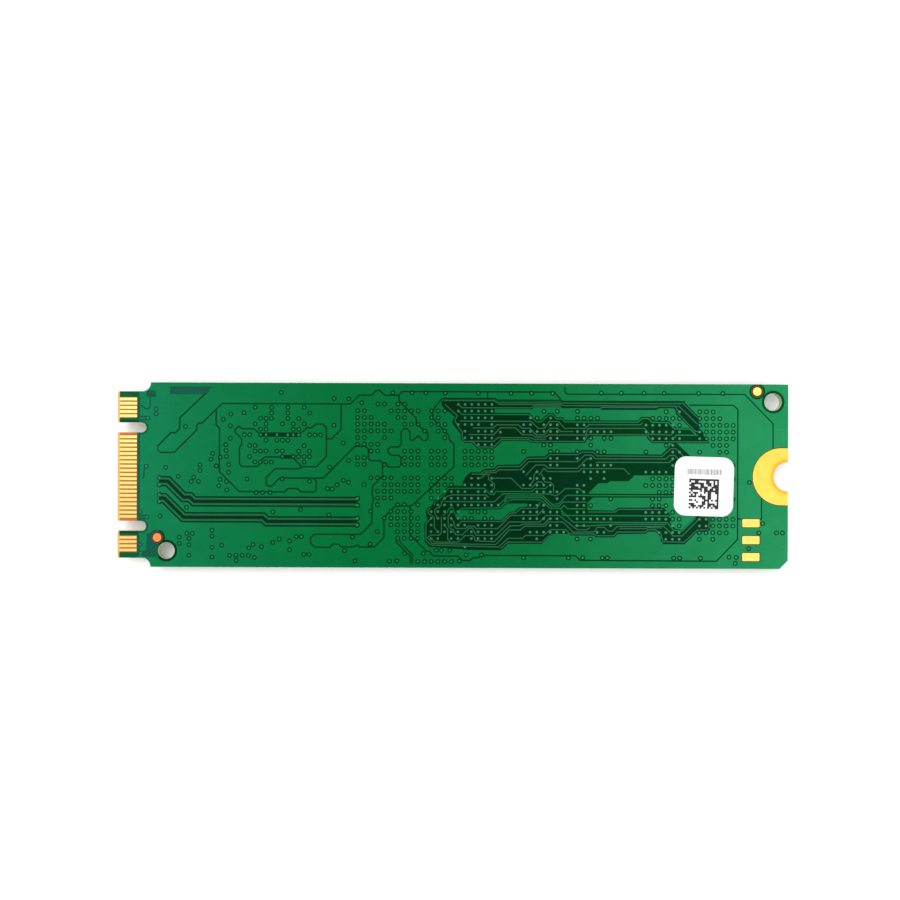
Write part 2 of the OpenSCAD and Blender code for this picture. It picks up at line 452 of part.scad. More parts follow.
lower_traces = lines_laid([
    [[-2.53, -5.1], [-3.15, -5.75], [-3.15, -7.7], [-2.5, -8.3], [5.5, -8.5], [6.65, -7.45],
        [8.35, -7.45], [8.75, -7.1], [10.85, -7.1], [11.7, -6.4], [13.5, -6.4], [14, -6.9],
        [16.9, -6.9], [17.2, -7.1], [19.25, -7.1], [19.7, -6.65], [23, -6.65], [23.3, -6.35],
        [24.2, -6.35], [24.9, -6.9], [25.1, -7.8], [27.6, -7.85], [29.2, -6.4], [30.5, -6.35]],
    [[-2.53, -7.5], [-2.1, -7.9], [-0.6, -7.95], [0.75, -7.9], [1.5, -7.15], [2.4, -7.1],
        [2.65, -7.35], [2.7, -7.75], [5, -7.85], [6.9, -5.95], [8.1, -5.95], [8.4, -5.75],
        [10.9, -5.75], [11.5, -5.15]],
    [[-1.3, -4.9], [-1.3, -6.8], [-1.55, -7.1], [-2.6, -7.1], [-2.95, -7.4], [-2.4, -8.1],
        [5.2, -8.2], [6.8, -6.45], [8.1, -6.45], [8.6, -6], [11, -6], [11.5, -5.48],
        [13.2, -5.48], [14.4, -6.7], [16.9, -6.65], [17.3, -6.1], [18.1, -6.1],
        [18.6, -6.55], [19.1, -6.55], [19.65, -6], [25.2, -5.95], [25.9, -6.6], [26.3, -7.1],
        [27.4, -7.1], [29.3, -5.2]],
    [[-2.6, -3.85], [-2.9, -4.1], [-2.9, -4.5], [-2.15, -5], [-2.15, -6.2], [-1.73, -6.7]],
    [[-1.73, -5.1], [-2.1, -4.5], [-2.1, -4.1], [-1.85, -3.85], [-1.5, -3.85]],
    [[-0.13, -4.3], [-0.5, -4.85], [-0.5, -6], [-0.2, -6.35], [0.1, -6.45], [0.4, -7.05],
        [1.2, -7.05], [2, -6.25], [2.4, -6.25], [2.85, -7.1], [5.2, -7.1], [6.8, -5.5],
        [10.4, -5.5], [11.2, -4.7], [12.7, -4.7], [14.9, -6.4], [16, -6.4], [16.4, -6.15]],
    [[-0.93, -5.9], [-0.55, -6.4], [-0.55, -7.6], [-0.3, -7.85]],
    [[-0.13, -5.1], [0.2, -5.55], [0.2, -6], [0.5, -6.3], [1.6, -6.3], [1.9, -6.02],
        [2.6, -6.02], [2.85, -6.3], [5.4, -6.3], [6.95, -4.72], [10.2, -4.7], [10.9, -3.9]],
    [[0.67, -5.9], [1.1, -5.45], [5.9, -5.45], [6.9, -4.45], [7.55, -4.4], [8.15, -3.88],
        [10.1, -3.85], [10.5, -3.1]],
    [[0.6, -5.1], [0.2, -4.4], [0.15, -4], [-0.1, -3.78], [-0.45, -3.95], [-0.6, -4.35],
        [-0.95, -4.65], [-1.2, -4.75]],
    [[5.7, -8.7], [6.65, -7.9], [10.7, -7.9], [11.6, -7.05]],
    [[12.9, -4], [14.4, -5.5], [19.2, -5.5], [25.6, -5.5], [26.4, -6.45], [27.4, -6.5],
        [29, -4.95]],
    [[13, -4.2], [13.2, -4.7], [25.8, -4.72], [26.1, -5]],
    [[14.6, -5.9], [16.1, -5.95], [19.4, -5.72], [25.5, -5.72]],
    [[19.9, -6.25], [23.1, -6.25], [23.3, -6.1], [25, -6.15]],
    [[16.2, -4.28], [19.4, -4.28], [19.8, -3.95], [25.1, -3.95]],
    [[29.6, -4.8], [30.6, -4.8], [30.6, -6.2]],
]);

// The two pairs of matched traces: centre line, half their spacing, width and field width, and
// the pads at their ends with the sunk discs around these
pair_lines = lines_laid([
    [[-34.95, -0.78], [-33.95, -0.78], [-32.05, -2.68], [-31.3, -2.68], [-30.8, -3.18],
        [-11.35, -3.18]],
    [[-34.95, -2.8], [-34.35, -2.8], [-32.05, -5.07], [-22.6, -5.07], [-22.1, -5.53],
        [-11.35, -5.53]],
]);
pair_half = 0.32;
pair_trace = 0.24;
pair_field = 1.24;
pair_pad_half = 0.4;
pair_pad = 0.19;
pair_pad_ring = 0.33;

// Strip of one width along a line of points, mitred at its corners
function unit(v) = v / norm(v);
function across(a, b) = let (d = unit(b - a)) [-d.y, d.x];
function mitre(p, i) =
    let (
        last = len(p) - 1,
        before = across(p[max(i - 1, 0)], p[max(i, 1)]),
        after = across(p[min(i, last - 1)], p[min(i + 1, last)])
    )
    (before + after) / (1 + before * after);
function beside(p, d) = [for (i = [0:len(p) - 1]) p[i] + mitre(p, i) * d];
function reversed(p) = [for (i = [len(p) - 1:-1:0]) p[i]];
module strip(p, w) {
    polygon(concat(beside(p, w / 2), reversed(beside(p, -w / 2))));
}

function grid_points(origin, pitch, rows) =
    [for (r = [0:len(rows) - 1]) for (c = rows[r]) origin + pitch * [c, r]];
function moved(points, v) = [for (p = points) p + v];
loose_vias =
    points_laid(concat(contact_end_vias, edge_vias, moved(screw_end_vias, [layout_size.x / 2, 0])));
all_vias = concat(
    points_laid(concat(
        grid_points(controller_grid, ball_pitch, controller_vias),
        grid_points(near_flash_grid, ball_pitch, near_flash_vias),
        grid_points(far_flash_grid, ball_pitch, far_flash_vias),
        grid_points(memory_grid, memory_pitch, memory_vias)
    )),
    loose_vias
);

module rounded(x, y, r) {
    square([x - 2 * r, y], center = true);
    square([x, y - 2 * r], center = true);
    for (sx = [-1, 1])
        for (sy = [-1, 1])
            translate([sx * (x / 2 - r), sy * (y / 2 - r)]) circle(r);
}

// Board outline: tongue with two key notches, screw notch, chamfered corner and tooling holes
module shoulder_cut() {
    step = edge - tongue_width / 2;
    r = min(shoulder_radius, step);
    root = left + tongue_length;
    translate([left - 1, edge - step]) square([tongue_length + 1 - r, step + 1]);
    translate([left - 1, edge - step + r]) square([tongue_length + 1, step + 1]);
    translate([root - r, edge - step + r]) circle(r);
}

module key_slot(y) {
    translate([left - 1, y - key_width / 2]) square([key_length + 1 - key_width / 2, key_width]);
    translate([left + key_length - key_width / 2, y]) circle(key_width / 2);
}

module tooling_holes(margin) {
    translate(near_hole) circle(near_hole_radius + margin);
    translate(far_hole) circle(far_hole_radius + margin);
}

module board_outline() {
    difference() {
        translate([left, -edge]) square([board_length, board_width]);
        shoulder_cut();
        mirror([0, 1]) shoulder_cut();
        for (y = key_ys) key_slot(y);
        translate([right, -edge]) rotate(45) square(corner_chamfer * sqrt(2), center = true);
        translate([right, 0]) circle(notch_radius);
        tooling_holes(0);
    }
}

module bevel() {
    rotate([90, 0, 0])
        linear_extrude(board_width, center = true)
            polygon([
                [left - eps, -eps],
                [left + bevel_length, -eps],
                [left + bevel_length, 0],
                [left, bevel_depth],
                [left - eps, bevel_depth],
            ]);
}

module board() color("peru")
    translate([0, 0, front_z + skin])
        difference() {
            linear_extrude(core_thickness) board_outline();
            bevel();
            translate([0, 0, core_thickness]) mirror([0, 0, 1]) bevel();
        }

// Land around the screw notch: a flat D shape on each face
module land_area(r) {
    translate([right - land_inset, 0]) circle(r);
    translate([right - land_inset, -r]) square([land_inset + 1, 2 * r]);
}

module notch_trim() {
    translate([right, 0]) circle(notch_radius);
    translate([right, -2 * land_radius]) square(4 * land_radius);
}

module land_face() {
    linear_extrude(skin)
        difference() {
            land_area(land_radius);
            notch_trim();
        }
}

module screw_land() color("gold") {
    translate([0, 0, front_z]) land_face();
    translate([0, 0, back_z - skin]) land_face();
}

// Bare windows over the contacts: the middle one runs from notch to notch
module contact_windows(groups, start) {
    for (i = [0:2]) {
        reach = contact_width / 2 + window_margin;
        top = i == 1 ? key_ys[0] : contact_y(groups[i][0]) + reach;
        bottom = i == 1 ? key_ys[1] : contact_y(groups[i][1]) - reach;
        translate([left - 1, bottom]) square([start - left + 1, top - bottom]);
    }
}

module mask(groups, marks, pads) {
    difference() {
        board_outline();
        translate([left - 1, -edge]) square([contact_inset + 1, board_width]);
        contact_windows(groups, mask_start);
        land_area(land_radius + pad_clearance);
        for (m = marks) translate(m) circle(mark_radius + mark_clearance);
        for (p = pads)
            translate(p)
                square([test_pad_length, test_pad_width] + 2 * pad_clearance * [1, 1], center = true);
    }
}

// A via in a routed field keeps only its pad, and every other via has a sunk ring round its pad
function crosses(p, a, b) =
    (a.y > p.y) != (b.y > p.y) && p.x < a.x + (p.y - a.y) * (b.x - a.x) / (b.y - a.y);
function inside(p, shape) =
    len([
        for (i = [0:len(shape) - 1])
            if (crosses(p, shape[i], shape[(i + 1) % len(shape)])) i
    ]) % 2 == 1;
function on_plate(v) = inside(v, upper_plate) || inside(v, lower_plate);
fields = concat([upper_field, lower_field], memory_slots);
function in_field(v) = !on_plate(v) && len([for (f = fields) if (inside(v, f)) f]) > 0;
field_vias = [for (v = all_vias) if (in_field(v)) v];
ringed_vias = [for (v = all_vias) if (!in_field(v)) v];

module ring() {
    difference() {
        circle(via_ring);
        circle(via_pad);
    }
}

module routed_field(outline, plate = [], traces = []) {
    difference() {
        polygon(outline);
        if (len(plate) > 0) polygon(plate);
        for (v = field_vias) if (inside(v, outline)) translate(v) circle(via_pad);
        for (t = traces) strip(t, trace_width);
    }
}

module pair_strip(p) {
    ends = [
        for (s = [-1, 1])
            let (b = beside(p, s * pair_pad_half))
                for (i = [0, len(b) - 1]) b[i]
    ];
    difference() {
        union() {
            strip(p, pair_field);
            for (e = ends) translate(e) circle(pair_pad_ring);
        }
        for (s = [-1, 1]) strip(beside(p, s * pair_half), pair_trace);
        for (e = ends) translate(e) circle(pair_pad);
    }
}

// Everything that lies lower in the back mask
module sunk_areas() {
    routed_field(upper_field, upper_plate, upper_traces);
    routed_field(lower_field, lower_plate, concat(middle_traces, lower_traces));
    for (p = pair_lines) pair_strip(p);
    for (p = parting_lines) strip(p, line_width);
    for (p = memory_slots) routed_field(p);
    for (v = ringed_vias) translate(v) ring();
    for (m = back_marks_at) translate(m) circle(mark_radius + 2 * mark_clearance);
    tooling_holes(hole_clearance);
    contact_windows(back_groups, mask_start + pour_setback);
    polygon(marking_field);
    polygon(shoulder_field);
    polygon(corner_field);
}

module back_mask() color("seagreen")
    translate([0, 0, back_z - skin])
        difference() {
            linear_extrude(skin) mask(back_groups, back_marks_at, test_pads_at);
            translate([0, 0, skin - relief]) linear_extrude(relief + eps) sunk_areas();
        }

module front_mask() color("seagreen")
    translate([0, 0, front_z])
        difference() {
            linear_extrude(skin) mask(front_groups, front_marks_at, []);
            translate([0, 0, -eps])
                linear_extrude(relief + eps) {
                    for (v = loose_vias) translate(v) ring();
                    tooling_holes(hole_clearance);
                }
        }

// Edge contacts: each is one strip of plated copper on the bare tongue
module contacts(groups, z) color("gold")
    for (g = groups)
        for (n = [g[0]:2:g[1]])
            translate([left + contact_inset, contact_y(n) - contact_width / 2, z])
                cube([contact_length, contact_width, skin]);

module back_contacts() contacts(back_groups, back_z - skin);
module front_contacts() contacts(front_groups, front_z);

module test_pads() color("gold")
    for (p = test_pads_at)
        translate([p.x, p.y, back_z - skin])
            linear_extrude(skin) rounded(test_pad_length, test_pad_width, 0.12);

module marks(places, z) color("darkorange")
    for (m = places) translate([m.x, m.y, z]) cylinder(skin, r = mark_radius);

module back_marks() marks(back_marks_at, back_z - skin);
module front_marks() marks(front_marks_at, front_z);

module label() color("white")
    translate([label_at.x, label_at.y, back_z])
        rotate(label_turn)
            linear_extrude(label_thickness) rounded(label_side, label_side, label_corner);

// Components hang below the board: their own z runs from the board towards the table
module on_front(at) translate([at.x, at.y, front_z]) mirror([0, 0, 1]) children();

chip_dimple = 0.45;
dimple_depth = 0.05;
module ball_chip(x, y, height) {
    translate([0, 0, ball_height])
        difference() {
            linear_extrude(height - ball_height) square([x, y], center = true);
            translate([x / 2 - 1.2, 1.2 - y / 2, height - ball_height - dimple_depth])
                cylinder(1, r = chip_dimple);
        }
}

// Solder balls round the rim of a chip, barrel shaped as they set
module ball() {
    neck = 0.7 * ball_radius;
    cylinder(ball_height / 2, neck, ball_radius);
    translate([0, 0, ball_height / 2]) cylinder(ball_height / 2, ball_radius, neck);
}

module ball_rim(columns, rows, pitch) {
    for (c = [0:columns - 1])
        for (r = [0:rows - 1])
            if (c == 0 || r == 0 || c == columns - 1 || r == rows - 1)
                translate([c - (columns - 1) / 2, r - (rows - 1) / 2] * pitch) ball();
}

flash_columns = 14;
flash_rows = 20;
controller_columns = 20;
memory_columns = 17;
memory_rows = 14;

module controller_chip() color("dimgray")
    on_front(controller_at) ball_chip(controller_side, controller_side, chip_height);
module controller_balls() color("silver")
    on_front(controller_at) ball_rim(controller_columns, controller_columns, ball_pitch);
module near_flash_chip() color("dimgray")
    on_front(near_flash_at) ball_chip(flash_length, flash_width, chip_height);
module near_flash_balls() color("silver")
    on_front(near_flash_at) ball_rim(flash_columns, flash_rows, ball_pitch);
module far_flash_chip() color("dimgray")
    on_front(far_flash_at) ball_chip(flash_length, flash_width, chip_height);
module far_flash_balls() color("silver")
    on_front(far_flash_at) ball_rim(flash_columns, flash_rows, ball_pitch);
module memory_chip() color("dimgray")
    on_front(memory_at) ball_chip(memory_length, memory_width, memory_height);
module memory_balls() color("silver")
    on_front(memory_at) ball_rim(memory_columns, memory_rows, memory_pitch);

// The power parts keep their distance from the memory chip, which lies this far along their block
memory_in_block = 14.6;
block_start = memory_at.x - memory_length / 2 - memory_in_block;
function beside_memory(p) = widened([block_start + p.x, p.y]);

// Leadless chips: a moulded body whose pads reach out at its foot
leadless_pad = [0.4, 0.25, 0.12];
leadless_step = 0.5;
power_chip_at = beside_memory([8.2, 0.3]);
regulator_at = beside_memory([19.2, -5.4]);
module leadless_body(side) {
    difference() {
        linear_extrude(leadless_height) square(side, center = true);
        leadless_pads(side, eps);
        translate([side / 2 - 0.5, 0.5 - side / 2, leadless_height - dimple_depth])
            cylinder(1, r = 0.2);
    }
}

module leadless_pads(side, margin = 0) {
    count = floor((side - 1) / leadless_step);
    for (turn = [0:90:270])
        rotate(turn)
            for (i = [0:count - 1])
                translate([
                    side / 2 - leadless_pad.x,
                    (i - (count - 1) / 2) * leadless_step - leadless_pad.y / 2,
                    -margin
                ])
                    cube(leadless_pad + [margin, 0, margin]);
}

module power_chip() color("dimgray") on_front(power_chip_at) leadless_body(power_chip_side);
module power_chip_pads() color("silver") on_front(power_chip_at) leadless_pads(power_chip_side);
module regulator_chip() color("dimgray") on_front(regulator_at) leadless_body(regulator_side);
module regulator_pads() color("silver") on_front(regulator_at) leadless_pads(regulator_side);

// Two-ended chip components: a middle block between two metal ends
module chip_middle(size, end) {
    translate([0, 0, size.z / 2])
        cube([size.x - 2 * end, size.y - 0.04, size.z - 0.04], center = true);
}

module chip_ends(size, end) {
    for (s = [-1, 1])
        translate([s * (size.x - end) / 2, 0, size.z / 2])
            cube([end, size.y, size.z], center = true);
}

inductor_size = [inductor_length, inductor_width, inductor_height];
inductors_at = [for (p = [[12.4, 7.6], [12.4, 4.9], [22.6, -5.4]]) beside_memory(p)];
inductor_end = 0.5;
module inductor_cores() color("darkslategray")
    for (p = inductors_at) on_front(p) chip_middle(inductor_size, inductor_end);
module inductor_ends() color("silver")
    for (p = inductors_at) on_front(p) chip_ends(inductor_size, inductor_end);

fuse_size = [3.2, 1.6, 0.6];
fuse_end = 0.5;
fuse_at = beside_memory([7.4, 8.4]);
module input_fuse() color("darkgreen") on_front(fuse_at) chip_middle(fuse_size, fuse_end);
module input_fuse_ends() color("silver") on_front(fuse_at) chip_ends(fuse_size, fuse_end);

large_size = [large_chip_length, large_chip_width, large_chip_width * 0.7];
large_end = 0.4;
large_capacitors_at = concat(
    [for (i = [0:2]) beside_memory([12.4, 2.6 - i * 1.8])],
    [for (i = [0:1]) beside_memory([7.4, 5.9 - i * 1.8])],
    [for (i = [0:1]) beside_memory([19.2 + i * 3.4, -8.4])]
);
module large_capacitors() color("tan")
    for (p = large_capacitors_at) on_front(p) chip_middle(large_size, large_end);
module large_capacitor_ends() color("silver")
    for (p = large_capacitors_at) on_front(p) chip_ends(large_size, large_end);

// Small capacitors: four in the matched pairs, then rows beside the chips they serve. The long rows
// lie between the widest chip and the board's edge, a little off the middle
small_size = [small_chip_length, small_chip_width, small_chip_width];
small_end = 0.25;
chips_top = max(controller_at.y + controller_side / 2, near_flash_at.y + flash_width / 2);
chips_bottom = min(controller_at.y - controller_side / 2, near_flash_at.y - flash_width / 2);
pair_capacitors_at = [for (y = [-0.43, -1.13, -2.45, -3.15]) beside_memory([5.2, y])];
top_capacitors_at = [for (i = [0:8]) [-10 + i * 5, (chips_top + edge) / 2 - 0.05]];
bottom_capacitors_at = [for (i = [0:8]) [-9 + i * 4.6, (chips_bottom - edge) / 2 - 0.15]];
memory_capacitors_at =
    [for (i = [0:6]) [memory_at.x - 4.95 + i * 1.7, memory_at.y - memory_width / 2 - 1.1]];
module small_capacitors() color("tan")
    for (p = small_capacitors_at) on_front(p) chip_middle(small_size, small_end);
module small_capacitor_ends() color("silver")
    for (p = small_capacitors_at) on_front(p) chip_ends(small_size, small_end);
small_capacitors_at =
    concat(pair_capacitors_at, top_capacitors_at, bottom_capacitors_at, memory_capacitors_at);

resistor_size = [small_chip_length, small_chip_width, resistor_height];
resistor_end = 0.2;
resistors_at = concat(
    [for (i = [0:4]) beside_memory([8.4 + i * 1.6, -6.4])],
    [for (i = [0:3]) beside_memory([8.4 + i * 1.6, -7.6])],
    [for (i = [0:2]) beside_memory([25.4, -7.2 - i * 0.9])]
);
module resistors() color("black")
    for (p = resistors_at) on_front(p) chip_middle(resistor_size, resistor_end);
module resistor_ends() color("silver")
    for (p = resistors_at) on_front(p) chip_ends(resistor_size, resistor_end);

// Crystal: a ceramic tray under a seam-welded metal lid
crystal_size = [3.2, 2.5];
crystal_base_height = 0.5;
crystal_lid_height = 0.2;
crystal_at = beside_memory([25.3, -2.95]);
module crystal_base() color("saddlebrown")
    on_front(crystal_at)
        linear_extrude(crystal_base_height) square(crystal_size, center = true);
module crystal_lid() color("lightgray")
    on_front(crystal_at)
        translate([0, 0, crystal_base_height])
            linear_extrude(crystal_lid_height)
                rounded(crystal_size.x - 0.3, crystal_size.y - 0.3, 0.3);

// Small chips with bent leads: body, then a foot, a riser and a shoulder for each lead
lead_thickness = 0.15;
module lead(width, reach, rise) {
    rotate([90, 0, 0])
        linear_extrude(width, center = true)
            polygon([
                [0, rise],
                [reach * 0.45, rise],
                [reach * 0.6, lead_thickness],
                [reach, lead_thickness],
                [reach, 0],
                [reach * 0.6 - lead_thickness, 0],
                [reach * 0.45 - lead_thickness, rise - lead_thickness],
                [0, rise - lead_thickness],
            ]);
}

module leaded_body(size, lift) {
    translate([0, 0, lift]) linear_extrude(size.z - lift) square([size.x, size.y], center = true);
}

module lead_pairs(size, count, step, width, rise) {
    for (turn = [0, 180])
        rotate(turn)
            for (i = [0:count - 1])
                translate([size.x / 2, (i - (count - 1) / 2) * step, 0])
                    lead(width, 0.9, rise);
}

leaded_lift = 0.1;
lead_rise = 0.6;
boot_chip_size = [4.4, 3, 1];
boot_chip_at = beside_memory([12.6, -3.9]);
module boot_chip() color("dimgray")
    on_front(boot_chip_at) leaded_body(boot_chip_size, leaded_lift);
module boot_chip_leads() color("silver")
    on_front(boot_chip_at) lead_pairs(boot_chip_size, 4, 0.65, 0.25, lead_rise);

heat_sensor_size = [1.6, 2.9, 1];
heat_sensor_at = beside_memory([15.6, -9.2]);
module heat_sensor() color("dimgray")
    on_front(heat_sensor_at) leaded_body(heat_sensor_size, leaded_lift);
module heat_sensor_leads() color("silver")
    on_front(heat_sensor_at) lead_pairs(heat_sensor_size, 3, 0.95, 0.4, lead_rise);

board();
back_mask();
front_mask();
back_contacts();
front_contacts();
screw_land();
test_pads();
back_marks();
front_marks();
label();
controller_chip();
controller_balls();
near_flash_chip();
near_flash_balls();
far_flash_chip();
far_flash_balls();
memory_chip();
memory_balls();
power_chip();
power_chip_pads();
regulator_chip();
regulator_pads();
inductor_cores();
inductor_ends();
input_fuse();
input_fuse_ends();
large_capacitors();
large_capacitor_ends();
small_capacitors();
small_capacitor_ends();
resistors();
resistor_ends();
crystal_base();
crystal_lid();
boot_chip();
boot_chip_leads();
heat_sensor();
heat_sensor_leads();
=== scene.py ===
"""Looks of the gumstick solid state drive: materials, via caps and print on the label."""

import math
import random

import bmesh
import bpy
import numpy as np
from mathutils import Matrix, Vector


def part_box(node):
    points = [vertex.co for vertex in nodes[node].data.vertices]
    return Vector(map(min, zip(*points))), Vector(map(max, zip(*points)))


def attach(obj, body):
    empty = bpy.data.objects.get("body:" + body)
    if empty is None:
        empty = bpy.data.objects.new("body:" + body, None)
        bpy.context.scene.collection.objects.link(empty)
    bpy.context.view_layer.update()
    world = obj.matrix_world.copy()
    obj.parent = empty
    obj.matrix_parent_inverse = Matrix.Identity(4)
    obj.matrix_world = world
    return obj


MM = 0.001

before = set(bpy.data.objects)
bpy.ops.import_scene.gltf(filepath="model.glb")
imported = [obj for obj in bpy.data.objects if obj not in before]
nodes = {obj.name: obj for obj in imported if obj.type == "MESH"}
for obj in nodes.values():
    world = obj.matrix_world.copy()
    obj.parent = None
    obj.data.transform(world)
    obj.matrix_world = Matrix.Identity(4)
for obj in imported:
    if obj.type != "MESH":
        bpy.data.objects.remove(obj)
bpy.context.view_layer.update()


# Colours and materials

# Colours are given as they look in the light of this scene, which is bright enough to leave the
# floor white in the card's shadow: this share of them is the surface's own colour
OWN_COLOUR = 0.88


def linear(rgb, share=OWN_COLOUR):
    """An sRGB colour from 0 to 255 as Blender's linear RGBA."""
    out = []
    for c in rgb:
        c = c / 255
        out.append(share * (c / 12.92 if c <= 0.04045 else ((c + 0.055) / 1.055) ** 2.4))
    return (*out, 1.0)


class Nodes:
    """Short names for building one material's node tree."""

    def __init__(self, name):
        self.material = bpy.data.materials.new(name)
        self.material.use_nodes = True
        self.tree = self.material.node_tree
        self.shader = self.tree.nodes["Principled BSDF"]
        coords = self.tree.nodes.new("ShaderNodeTexCoord")
        self.place = coords.outputs["Object"]

    def add(self, kind, **values):
        node = self.tree.nodes.new(kind)
        for key, value in values.items():
            setattr(node, key, value)
        return node

    def link(self, out, socket):
        self.tree.links.new(out, socket)

    def noise(self, size, detail=3.0, stretch=(1, 1, 1)):
        """Noise whose features are about size metres across."""
        mapping = self.add("ShaderNodeMapping")
        mapping.inputs["Scale"].default_value = stretch
        self.link(self.place, mapping.inputs["Vector"])
        node = self.add("ShaderNodeTexNoise")
        node.inputs["Scale"].default_value = 1 / size
        node.inputs["Detail"].default_value = detail
        self.link(mapping.outputs["Vector"], node.inputs["Vector"])
        return node.outputs["Fac"]

    def ramp(self, value, stops, share=OWN_COLOUR):
        """Colours blended along value: stops are (place from 0 to 1, sRGB colour), in order."""
        node = self.add("ShaderNodeValToRGB")
        ramp = node.color_ramp
        first, last = stops[0], stops[-1]
        ramp.elements[0].position, ramp.elements[1].position = first[0], last[0]
        ramp.elements[0].color = linear(first[1], share)
        ramp.elements[1].color = linear(last[1], share)
        for at, colour in stops[1:-1]:
            ramp.elements.new(at).color = linear(colour, share)
        self.link(value, node.inputs["Fac"])
        return node.outputs["Color"]

    def along_board(self, *stops):
        """Colours blended along the board: stops are (x in mm, sRGB colour), from left to right."""
        low, high = -40.0, 40.0
        places = [((x - low) / (high - low), colour) for x, colour in stops]
        return self.ramp(self.along("X", low * MM, high * MM), places)

    def vector(self, operation, value, constant):
        node = self.add("ShaderNodeVectorMath", operation=operation)
        self.link(value, node.inputs[0])
        node.inputs[1].default_value = constant
        return node.outputs["Vector"]

    def radius(self, x, y, start, end, slot=False):
        """0 to 1 as the distance from the point x, y goes from start to end, all in mm.

        For a slot it is the distance from the line that runs from that point towards low x."""
        offset = self.vector("SUBTRACT", self.place, (x * MM, y * MM, 0))
        offset = self.vector("MULTIPLY", offset, (1, 1, 0))
        if slot:
            offset = self.vector("MAXIMUM", offset, (0, -1, 0))
        size = self.add("ShaderNodeVectorMath", operation="LENGTH")
        self.link(offset, size.inputs[0])
        node = self.add("ShaderNodeMapRange")
        node.inputs["From Min"].default_value = start * MM
        node.inputs["From Max"].default_value = end * MM
        self.link(size.outputs["Value"], node.inputs["Value"])
        return node.outputs["Result"]

    def shaded(self, colour, *shades):
        """colour times every shade."""
        for shade in shades:
            scale = self.add("ShaderNodeVectorMath", operation="SCALE")
            self.link(colour, scale.inputs[0])
            self.link(shade, scale.inputs["Scale"])
            colour = scale.outputs["Vector"]
        return colour

    def along(self, axis, start, end):
        """0 at start to 1 at end along one axis, in metres."""
        split = self.add("ShaderNodeSeparateXYZ")
        self.link(self.place, split.inputs["Vector"])
        node = self.add("ShaderNodeMapRange")
        node.inputs["From Min"].default_value = start
        node.inputs["From Max"].default_value = end
        self.link(split.outputs[axis], node.inputs["Value"])
        return node.outputs["Result"]

    def mix(self, value, a, b, kind="MIX"):
        node = self.add("ShaderNodeMix", data_type="RGBA", blend_type=kind)
        sockets = {s.identifier: s for s in node.inputs}
        for name, source in (("Factor_Float", value), ("A_Color", a), ("B_Color", b)):
            if isinstance(source, bpy.types.NodeSocket):
                self.link(source, sockets[name])
            else:
                sockets[name].default_value = source
        return next(s for s in node.outputs if s.identifier == "Result_Color")

    def grade(self, value, low, high):
        node = self.add("ShaderNodeMapRange")
        node.inputs["To Min"].default_value = low
        node.inputs["To Max"].default_value = high
        self.link(value, node.inputs["Value"])
        return node.outputs["Result"]

    def bump(self, value, height):
        node = self.add("ShaderNodeBump")
        node.inputs["Distance"].default_value = height
        self.link(value, node.inputs["Height"])
        self.link(node.outputs["Normal"], self.shader.inputs["Normal"])

    def weave(self, pitch):
        """The glass cloth in the laminate: two crossed bands."""
        total = None
        for direction in ("X", "Y"):
            wave = self.add("ShaderNodeTexWave", bands_direction=direction)
            wave.inputs["Scale"].default_value = 1 / (pitch * math.pi)
            wave.inputs["Distortion"].default_value = 0.6
            wave.inputs["Detail"].default_value = 1
            self.link(self.place, wave.inputs["Vector"])
            if total is None:
                total = wave.outputs["Fac"]
            else:
                both = self.add("ShaderNodeMath", operation="MAXIMUM")
                self.link(total, both.inputs[0])
                self.link(wave.outputs["Fac"], both.inputs[1])
                total = both.outputs["Value"]
        return total

    def surface(self, metallic=0.0, roughness=0.5, coat=0.0, specular=0.5):
        self.shader.inputs["Metallic"].default_value = metallic
        self.shader.inputs["Roughness"].default_value = roughness
        self.shader.inputs["Coat Weight"].default_value = coat
        self.shader.inputs["Coat Roughness"].default_value = 0.12
        self.shader.inputs["Specular IOR Level"].default_value = specular


# Key notches in mm: where their round ends are centred, and their radius
KEY_END_X = -37.1
KEY_YS = (5.625, -6.125)
KEY_RADIUS = 0.6
# Copper under the mask ends at this x on the tongue, and between these two distances from a notch.
# The mask over bare laminate has this share of its brightness
TONGUE_COPPER_X = -37.4
KEY_RIM = (0.18, 0.3)
SOFT_EDGE = 0.05
BARE_SHADE = 0.5


def bare_shades(n):
    """Darker where no copper lies under the mask: beside the contacts and round the key notches."""
    tongue = n.along("X", (TONGUE_COPPER_X - SOFT_EDGE) * MM, (TONGUE_COPPER_X + SOFT_EDGE) * MM)
    shades = [n.grade(tongue, BARE_SHADE, 1)]
    start, end = (KEY_RADIUS + width for width in KEY_RIM)
    for y in KEY_YS:
        rim = n.radius(KEY_END_X, y, start, end, slot=True)
        shades.append(n.grade(rim, BARE_SHADE, 1))
    return shades


def mask_material(name, stops, cool, mottle=0.1, rough=(0.34, 0.5), bare=False, patchy=0.45):
    """Solder mask whose green drifts along the board and in cloudy patches, over faint glass cloth.

    stops are its colours along the board, and cool is the colour of the patches. patchy is how far
    the patches go towards cool, and bare adds the darker places without copper."""
    n = Nodes(name)
    patches = n.add("ShaderNodeMath", operation="MULTIPLY")
    n.link(n.grade(n.noise(4.5 * MM, 2), -0.25, 1.05), patches.inputs[0])
    patches.inputs[1].default_value = patchy
    patches.use_clamp = True
    base = n.mix(patches.outputs["Value"], n.along_board(*stops), linear(cool))
    cloudy = n.grade(n.noise(1.6 * MM, 4), 1 - mottle, 1 + mottle)
    fine = n.grade(n.noise(0.25 * MM, 2), 1 - mottle, 1 + mottle)
    shades = bare_shades(n) if bare else []
    n.link(n.shaded(base, cloudy, fine, *shades), n.shader.inputs["Base Color"])
    n.surface(specular=0.02)
    n.link(n.grade(n.noise(0.8 * MM, 3), *rough), n.shader.inputs["Roughness"])
    n.bump(n.weave(0.45 * MM), 0.0012 * MM)
    return n.material


